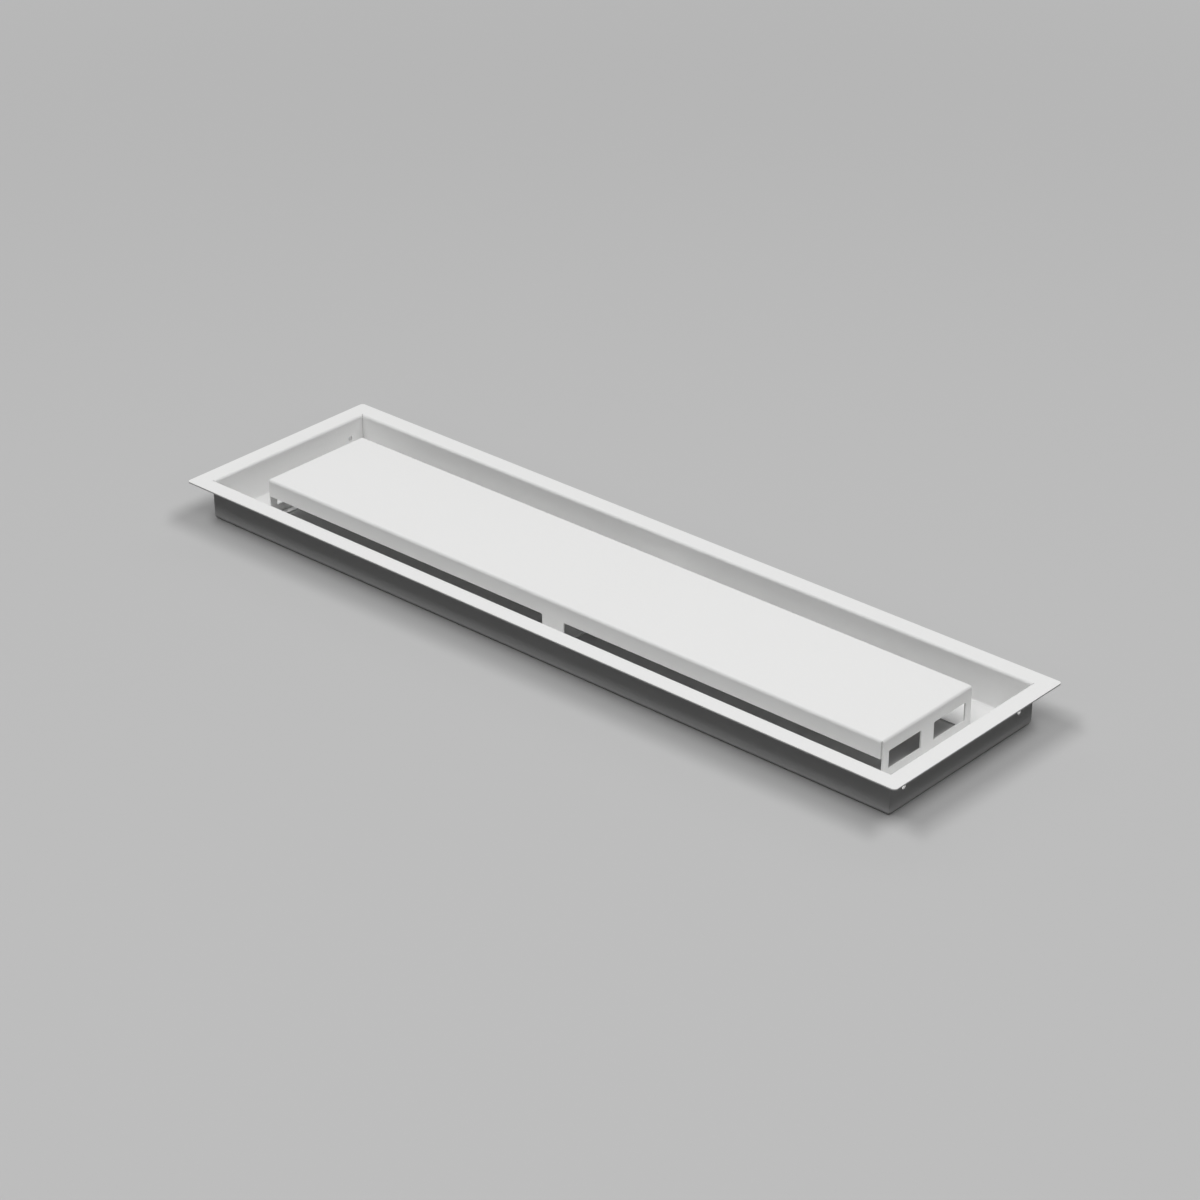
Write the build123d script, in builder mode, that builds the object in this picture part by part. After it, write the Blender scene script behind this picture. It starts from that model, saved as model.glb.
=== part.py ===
from build123d import *
import os

# A ceiling vent of white sheet steel: a shallow folded pan with a raised panel inside it.
# The frame lies room side up. The origin is the middle of the pan's underside, X runs along
# the vent, Y runs across it and +Z points into the room. All sizes are in millimetres.

# Sheet and folds, the same for both pieces
sheet = 1.2
inner_bend_radius = 1.3
corner_gap = 0.1
relief_length = 2.4
relief_width = 0.8

# Pan
rim_length = 720.0
rim_width = 200.0
rim_margin = 16.0
rim_corner_radius = 3.0
pan_depth = 34.0
floor_ledge = 38.0
bridge_width = 22.0
screw_hole_diameter = 4.5
screw_hole_inset = 15.0

# Raised panel
air_gap = 30.0
strip_depth = 15.0
foot_width = 22.0
foot_corner_radius = 1.5
window_height = 15.0
window_corner_radius = 1.0
window_post_width = 15.2
window_side_strip = 8.4
window_top_strip = 11.0

# Folds follow the middle of the sheet, and corners open from halfway round the bend below them
bend_radius = inner_bend_radius + sheet / 2
outer_bend_radius = inner_bend_radius + sheet
half_bend = outer_bend_radius - bend_radius * 0.5**0.5
corner_step = sheet + corner_gap

# The pan's opening is what the rim leaves free, and its walls stand outside it
opening_length = rim_length - 2 * rim_margin
opening_width = rim_width - 2 * rim_margin

os.makedirs("parts", exist_ok=True)

with BuildPart() as frame:
    # Rim, wall and floor are one folded section, carried round the opening
    fold_length = opening_length / 2 + sheet / 2
    fold_width = opening_width / 2 + sheet / 2
    with BuildLine() as wall_line:
        Polyline(
            (0, fold_width),
            (fold_length, fold_width),
            (fold_length, -fold_width),
            (-fold_length, -fold_width),
            (-fold_length, fold_width),
            close=True,
        )
    with BuildSketch(Plane.YZ) as fold_section:
        with BuildLine():
            FilletPolyline(
                (opening_width / 2 - floor_ledge, sheet / 2),
                (fold_width, sheet / 2),
                (fold_width, pan_depth - sheet / 2),
                (rim_width / 2, pan_depth - sheet / 2),
                radius=bend_radius,
            )
        trace(line_width=sheet)
    sweep(path=wall_line.wires()[0], transition=Transition.RIGHT)

    # The rim's corners are closed and rounded
    upright_edges = frame.edges().filter_by(Axis.Z)
    fillet(upright_edges.group_by(Axis.X)[0] + upright_edges.group_by(Axis.X)[-1], rim_corner_radius)

    # A bridge of the same sheet parts the floor's two air openings
    with BuildSketch():
        Rectangle(bridge_width, opening_width - 2 * inner_bend_radius)
    extrude(amount=sheet)

    # The long walls run the pan's whole length, and the short walls butt against their inner faces
    with BuildSketch(Plane.XY.offset(half_bend)):
        with GridLocations(2 * fold_length, opening_width - corner_gap, 2, 2):
            Rectangle(sheet, corner_gap)
    extrude(amount=pan_depth - 2 * half_bend, mode=Mode.SUBTRACT)

    # A slit along each corner's mitre frees the bends, in the floor and in the rim
    with BuildSketch(Plane.XY, Plane.XY.offset(pan_depth - outer_bend_radius)):
        with Locations((fold_length, fold_width)):
            SlotOverall(relief_length, relief_width, rotation=45)
        mirror(about=Plane.YZ)
        mirror(about=Plane.XZ)
    extrude(amount=outer_bend_radius, mode=Mode.SUBTRACT)

    # Two screw holes through each short wall, at half its height
    with BuildSketch(Plane.YZ):
        with Locations((0, pan_depth / 2)):
            with GridLocations(opening_width - 2 * screw_hole_inset, 0, 2, 1):
                Circle(screw_hole_diameter / 2)
    extrude(amount=rim_length / 2, both=True, mode=Mode.SUBTRACT)

frame.part.label = "frame"
export_step(frame.part, "parts/frame.step")

# The panel stands on the pan's floor, level with the rim, with the air gap all round it
cover_length = opening_length - 2 * air_gap
cover_width = opening_width - 2 * air_gap
window_width = (cover_width - window_post_width) / 2 - window_side_strip

with BuildPart() as cover:
    with BuildSketch(Plane.XY.offset(sheet)):
        Rectangle(cover_length, cover_width)
    extrude(amount=pan_depth - sheet)
    fillet(cover.faces().sort_by(Axis.Z)[-1].edges(), outer_bend_radius)
    offset(amount=-sheet, openings=cover.faces().sort_by(Axis.Z)[0])

    # Each long side is a short strip with one foot in its middle
    slot_length = (cover_length - foot_width) / 2 - corner_step
    slot_height = pan_depth - strip_depth - sheet
    with BuildSketch(Plane.XZ) as slots:
        with Locations((foot_width / 2, sheet)):
            Rectangle(slot_length, slot_height, align=(Align.MIN, Align.MIN))
        fillet(slots.vertices().group_by(Axis.X)[0].sort_by(Axis.Y)[-1], foot_corner_radius)
        mirror(about=Plane.YZ)
    extrude(amount=cover_width / 2, both=True, mode=Mode.SUBTRACT)

    # Each short side is a full wall with two windows
    with BuildSketch(Plane.YZ):
        with Locations((0, pan_depth - window_top_strip - window_height / 2)):
            with GridLocations(window_width + window_post_width, 0, 2, 1):
                RectangleRounded(window_width, window_height, window_corner_radius)
    extrude(amount=cover_length / 2, both=True, mode=Mode.SUBTRACT)

    # The sides meet edge to edge, with an open step and a narrow gap down each corner
    with BuildSketch(Plane.XY.offset(sheet)):
        with GridLocations(cover_length - corner_step, cover_width - corner_step, 2, 2):
            Rectangle(corner_step, corner_step)
    extrude(amount=pan_depth - sheet - half_bend, mode=Mode.SUBTRACT)
    with BuildSketch(Plane.XY.offset(pan_depth - outer_bend_radius)):
        with Locations(((cover_length - sheet) / 2, (cover_width - sheet) / 2)):
            SlotOverall(relief_length, relief_width, rotation=45)
        mirror(about=Plane.YZ)
        mirror(about=Plane.XZ)
    extrude(amount=outer_bend_radius, mode=Mode.SUBTRACT)

cover.part.label = "cover"
export_step(cover.part, "parts/cover.step")
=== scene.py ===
import math

import bpy
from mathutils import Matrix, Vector


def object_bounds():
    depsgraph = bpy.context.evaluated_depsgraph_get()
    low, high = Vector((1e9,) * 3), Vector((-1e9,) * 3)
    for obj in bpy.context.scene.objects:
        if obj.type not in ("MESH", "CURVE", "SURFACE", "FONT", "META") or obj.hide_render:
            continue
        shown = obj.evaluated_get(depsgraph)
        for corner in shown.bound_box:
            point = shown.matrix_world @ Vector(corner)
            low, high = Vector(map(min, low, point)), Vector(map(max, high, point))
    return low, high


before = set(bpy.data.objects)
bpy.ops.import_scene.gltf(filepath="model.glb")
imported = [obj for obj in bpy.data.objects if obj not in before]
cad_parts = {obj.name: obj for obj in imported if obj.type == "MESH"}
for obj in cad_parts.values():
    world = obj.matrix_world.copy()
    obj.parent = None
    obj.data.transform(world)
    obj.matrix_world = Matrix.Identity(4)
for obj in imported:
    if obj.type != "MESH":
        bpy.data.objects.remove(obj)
cad_low, cad_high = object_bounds()


# The pan: one sheet of 1.2 mm steel with its walls and rim folded, powder coated white all over.
# The coat has a low sheen and the fine orange peel of a sprayed powder. It covers the cut edges
# too and rounds them off a little.

COAT_WHITE = (0.84, 0.84, 0.835, 1)
COAT_ROUGHNESS = 0.6
COAT_SHINE = 0.3
DRIFT_SCALE = 7
DRIFT_DETAIL = 3
DRIFT_DARKEST = 0.985
GLOSS_DRIFT = 0.04
PEEL_SCALE = 750
PEEL_DETAIL = 2
PEEL_HEIGHT = 0.0001
EDGE_ROUNDING = 0.00025


def powder_coat(name, turn):
    """The coat of one piece; `turn` turns its drift about Z, so that no two pieces match"""
    coat = bpy.data.materials.new(name)
    coat.use_nodes = True
    nodes = coat.node_tree.nodes
    links = coat.node_tree.links
    shader = nodes["Principled BSDF"]
    shader.inputs["Specular IOR Level"].default_value = COAT_SHINE

    place = nodes.new("ShaderNodeTexCoord")
    turned = nodes.new("ShaderNodeMapping")
    turned.inputs["Rotation"].default_value = (0, 0, turn)
    links.new(place.outputs["Object"], turned.inputs["Vector"])

    # Powder flows together unevenly, so the white drifts a very little over the sheet
    drift = nodes.new("ShaderNodeTexNoise")
    drift.inputs["Scale"].default_value = DRIFT_SCALE
    drift.inputs["Detail"].default_value = DRIFT_DETAIL
    links.new(turned.outputs["Vector"], drift.inputs["Vector"])
    white = nodes.new("ShaderNodeMix")
    white.data_type = "RGBA"
    white.inputs["A"].default_value = [channel * DRIFT_DARKEST for channel in COAT_WHITE[:3]] + [1]
    white.inputs["B"].default_value = COAT_WHITE
    links.new(drift.outputs["Fac"], white.inputs["Factor"])
    links.new(white.outputs["Result"], shader.inputs["Base Color"])

    # Its gloss is a little uneven as well
    gloss = nodes.new("ShaderNodeMapRange")
    gloss.inputs["To Min"].default_value = COAT_ROUGHNESS - GLOSS_DRIFT
    gloss.inputs["To Max"].default_value = COAT_ROUGHNESS + GLOSS_DRIFT
    links.new(drift.outputs["Fac"], gloss.inputs["Value"])
    links.new(gloss.outputs["Result"], shader.inputs["Roughness"])

    # Orange peel, over edges that the coat has rounded
    peel = nodes.new("ShaderNodeTexNoise")
    peel.inputs["Scale"].default_value = PEEL_SCALE
    peel.inputs["Detail"].default_value = PEEL_DETAIL
    links.new(turned.outputs["Vector"], peel.inputs["Vector"])
    rounded = nodes.new("ShaderNodeBevel")
    rounded.inputs["Radius"].default_value = EDGE_ROUNDING
    bump = nodes.new("ShaderNodeBump")
    bump.inputs["Distance"].default_value = PEEL_HEIGHT
    links.new(peel.outputs["Fac"], bump.inputs["Height"])
    links.new(rounded.outputs["Normal"], bump.inputs["Normal"])
    links.new(bump.outputs["Normal"], shader.inputs["Normal"])
    return coat


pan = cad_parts["frame"]
pan.data.materials.clear()
pan.data.materials.append(powder_coat("pan_powder_coat", turn=0))


# The raised panel: a second sheet of the same steel with its four sides folded down, sprayed in
# the same powder and set on the pan's floor. Its coat is turned, so the drift doesn't run on from
# the pan.

PANEL_COAT_TURN = math.radians(90)

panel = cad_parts["cover"]
panel.data.materials.clear()
panel.data.materials.append(powder_coat("panel_powder_coat", turn=PANEL_COAT_TURN))


# The floor: wide, plain and pale, with the pan's shadow on it. Further out it runs into the
# backdrop without an edge. It throws little light back, so that the outside of the pan stays dark
# under the rim.

FLOOR_SIZE = 60
FLOOR_GREY = (0.54, 0.54, 0.54, 1)
FLOOR_THROWN_GREY = (0.03, 0.03, 0.03, 1)
FLOOR_BLEND_START = 0.8
FLOOR_BLEND_END = 2.2
BACKDROP_GREY = (0.5, 0.5, 0.5, 1)


def seen_or_thrown(tree, seen, thrown):
    """What the camera, a reflection or glass sees is `seen`; what lights the vent is `thrown`"""
    path = tree.nodes.new("ShaderNodeLightPath")
    looked_at = path.outputs["Is Camera Ray"]
    for ray in ("Is Glossy Ray", "Is Transmission Ray"):
        also = tree.nodes.new("ShaderNodeMath")
        also.operation = "MAXIMUM"
        tree.links.new(looked_at, also.inputs[0])
        tree.links.new(path.outputs[ray], also.inputs[1])
        looked_at = also.outputs["Value"]
    either = tree.nodes.new("ShaderNodeMixShader")
    tree.links.new(looked_at, either.inputs["Fac"])
    tree.links.new(thrown, either.inputs[1])
    tree.links.new(seen, either.inputs[2])
    return either.outputs["Shader"]


def floor_paint():
    paint = bpy.data.materials.new("floor_paint")
    paint.use_nodes = True
    nodes = paint.node_tree.nodes
    links = paint.node_tree.links
    nodes.remove(nodes["Principled BSDF"])

    near = nodes.new("ShaderNodeBsdfDiffuse")
    near.inputs["Color"].default_value = FLOOR_GREY
    far = nodes.new("ShaderNodeEmission")
    far.inputs["Color"].default_value = BACKDROP_GREY

    # Distance from the vent blends the lit floor into the backdrop's grey
    place = nodes.new("ShaderNodeTexCoord")
    distance = nodes.new("ShaderNodeVectorMath")
    distance.operation = "LENGTH"
    links.new(place.outputs["Object"], distance.inputs[0])
    outward = nodes.new("ShaderNodeMapRange")
    outward.interpolation_type = "SMOOTHSTEP"
    outward.inputs["From Min"].default_value = FLOOR_BLEND_START
    outward.inputs["From Max"].default_value = FLOOR_BLEND_END
    links.new(distance.outputs["Value"], outward.inputs["Value"])
    spread = nodes.new("ShaderNodeMixShader")
    links.new(outward.outputs["Result"], spread.inputs["Fac"])
    links.new(near.outputs["BSDF"], spread.inputs[1])
    links.new(far.outputs["Emission"], spread.inputs[2])

    thrown = nodes.new("ShaderNodeBsdfDiffuse")
    thrown.inputs["Color"].default_value = FLOOR_THROWN_GREY
    surface = seen_or_thrown(paint.node_tree, spread.outputs["Shader"], thrown.outputs["BSDF"])
    links.new(surface, nodes["Material Output"].inputs["Surface"])
    return paint


bpy.ops.object.select_all(action="DESELECT")
bpy.ops.mesh.primitive_plane_add(size=FLOOR_SIZE, location=(0, 0, cad_low.z))
ground = bpy.context.object
ground.name = "floor"
ground.data.materials.append(floor_paint())


# The room: a plain backdrop far behind, of the grey that the floor runs into. It is there to be
# seen, and almost none of the vent's light comes from it.

ROOM_THROWN_GREY = (0.02, 0.02, 0.02, 1)

room = bpy.data.worlds.new("room")
bpy.context.scene.world = room
room.use_nodes = True
backdrop = room.node_tree.nodes["Background"]
backdrop.inputs["Color"].default_value = BACKDROP_GREY
dim = room.node_tree.nodes.new("ShaderNodeBackground")
dim.inputs["Color"].default_value = ROOM_THROWN_GREY
all_round = seen_or_thrown(
    room.node_tree, backdrop.outputs["Background"], dim.outputs["Background"]
)
room.node_tree.links.new(all_round, room.node_tree.nodes["World Output"].inputs["Surface"])


# The camera: a long lens that looks from the photograph's side, over the near long wall and the
# right end. It aims at a point over the middle of the pan, a little below the rim. Lens and sensor
# are in millimetres.

VIEW_AZIMUTH = math.radians(41.698)
VIEW_ELEVATION = math.radians(28.303)
VIEW_DISTANCE = 2.57214
AIM_BELOW_RIM = 0.02097
LENS_LENGTH = 100
SENSOR_WIDTH = 36


def direction(azimuth, elevation):
    """The unit vector out from the vent at this azimuth, where 0 is in front, and elevation"""
    return Vector(
        (
            math.sin(azimuth) * math.cos(elevation),
            -math.cos(azimuth) * math.cos(elevation),
            math.sin(elevation),
        )
    )


aim = Vector((0, 0, cad_high.z - AIM_BELOW_RIM))
away = direction(VIEW_AZIMUTH, VIEW_ELEVATION)
bpy.ops.object.camera_add(location=aim + away * VIEW_DISTANCE)
camera = bpy.context.object
camera.rotation_euler = (-away).to_track_quat("-Z", "Y").to_euler()
camera.data.lens = LENS_LENGTH
camera.data.sensor_width = SENSOR_WIDTH
bpy.context.scene.camera = camera
bpy.context.scene.view_settings.view_transform = "Standard"


# The lamps: five long soft ones, turned about the vent from the camera's side. Two strong high
# ones stand left and right, a weaker high one in front, and two low ones only fill the outer
# walls.

LAMP_DISTANCE = 5
HIGH_LAMP_ELEVATION = math.radians(62)
HIGH_LAMP_WIDTH = 4
HIGH_LAMP_DEPTH = 0.9
LOW_LAMP_ELEVATION = math.radians(30)
LOW_LAMP_WIDTH = 8
LOW_LAMP_DEPTH = 1.16


def soft_lamp(name, turn, radiance, elevation, width, depth):
    """A lamp aimed at the vent, `turn` degrees round it; its power follows from its area"""
    toward = direction(VIEW_AZIMUTH + math.radians(turn), elevation)
    bpy.ops.object.light_add(type="AREA", location=toward * LAMP_DISTANCE)
    lamp = bpy.context.object
    lamp.name = name
    lamp.rotation_euler = (-toward).to_track_quat("-Z", "Y").to_euler()
    lamp.data.shape = "RECTANGLE"
    lamp.data.size = width
    lamp.data.size_y = depth
    lamp.data.energy = radiance * width * depth * math.pi


def high_lamp(name, turn, radiance):
    soft_lamp(name, turn, radiance, HIGH_LAMP_ELEVATION, HIGH_LAMP_WIDTH, HIGH_LAMP_DEPTH)


def low_lamp(name, turn, radiance):
    soft_lamp(name, turn, radiance, LOW_LAMP_ELEVATION, LOW_LAMP_WIDTH, LOW_LAMP_DEPTH)


high_lamp("high_left", turn=-90, radiance=9.8)
high_lamp("high_right", turn=90, radiance=9.5)
high_lamp("high_front", turn=0, radiance=3.8)
low_lamp("low_front", turn=0, radiance=0.85)
low_lamp("low_back", turn=180, radiance=0.85)
